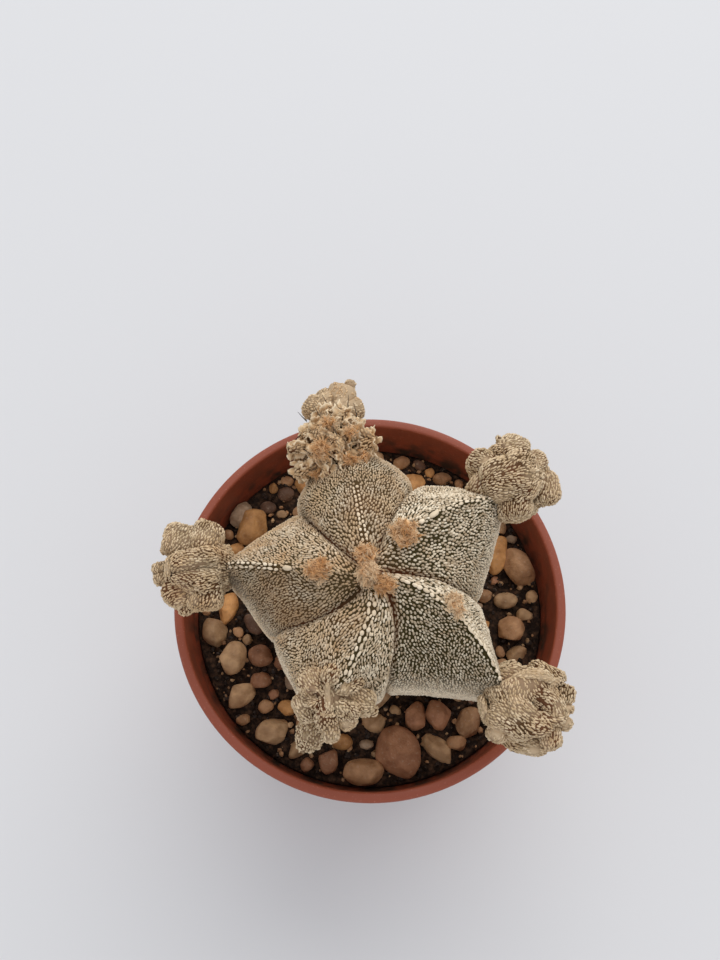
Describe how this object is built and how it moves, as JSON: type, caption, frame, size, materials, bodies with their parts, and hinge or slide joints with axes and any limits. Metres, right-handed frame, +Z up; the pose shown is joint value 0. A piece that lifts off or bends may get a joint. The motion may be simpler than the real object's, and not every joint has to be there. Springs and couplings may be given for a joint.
{
  "type": "potted bishop's cap cactus",
  "caption": "Star-shaped ribbed cactus with small offsets on its rib tips, in a round nursery pot topped with gravel.",
  "frame": {"origin": "centre of the pot's flat underside, on the surface that the pot stands on", "axes": "+Z up along the pot's axis, +X to the right of the picture, +Y to the top of the picture"},
  "size_m": [0.055, 0.0563, 0.0731],
  "materials": {
    "pot": "moulded brick-red plastic, satin",
    "soil": "dark crumbly potting soil",
    "gravel": "rounded tan, orange and red-brown pebbles, matt",
    "flesh": "dark green skin covered with cream flecks",
    "offset_flesh": "paler skin, closely flecked, browned at the edges",
    "wool": "orange-tan felted wool"
  },
  "bodies": {
    "root": {"pot": "pot", "soil": "soil", "gravel": "gravel", "cactus_body": "flesh", "offset_left": "offset_flesh", "offset_top": "offset_flesh", "offset_top_low": "offset_flesh", "offset_upper_right": "offset_flesh", "offset_lower_right": "offset_flesh", "offset_bottom": "offset_flesh", "offset_bottom_small": "offset_flesh", "crown_wool": "wool", "areole_wool_left": "wool", "areole_wool_upper_right": "wool", "areole_wool_lower_right": "wool"}
  },
  "joints": []
}
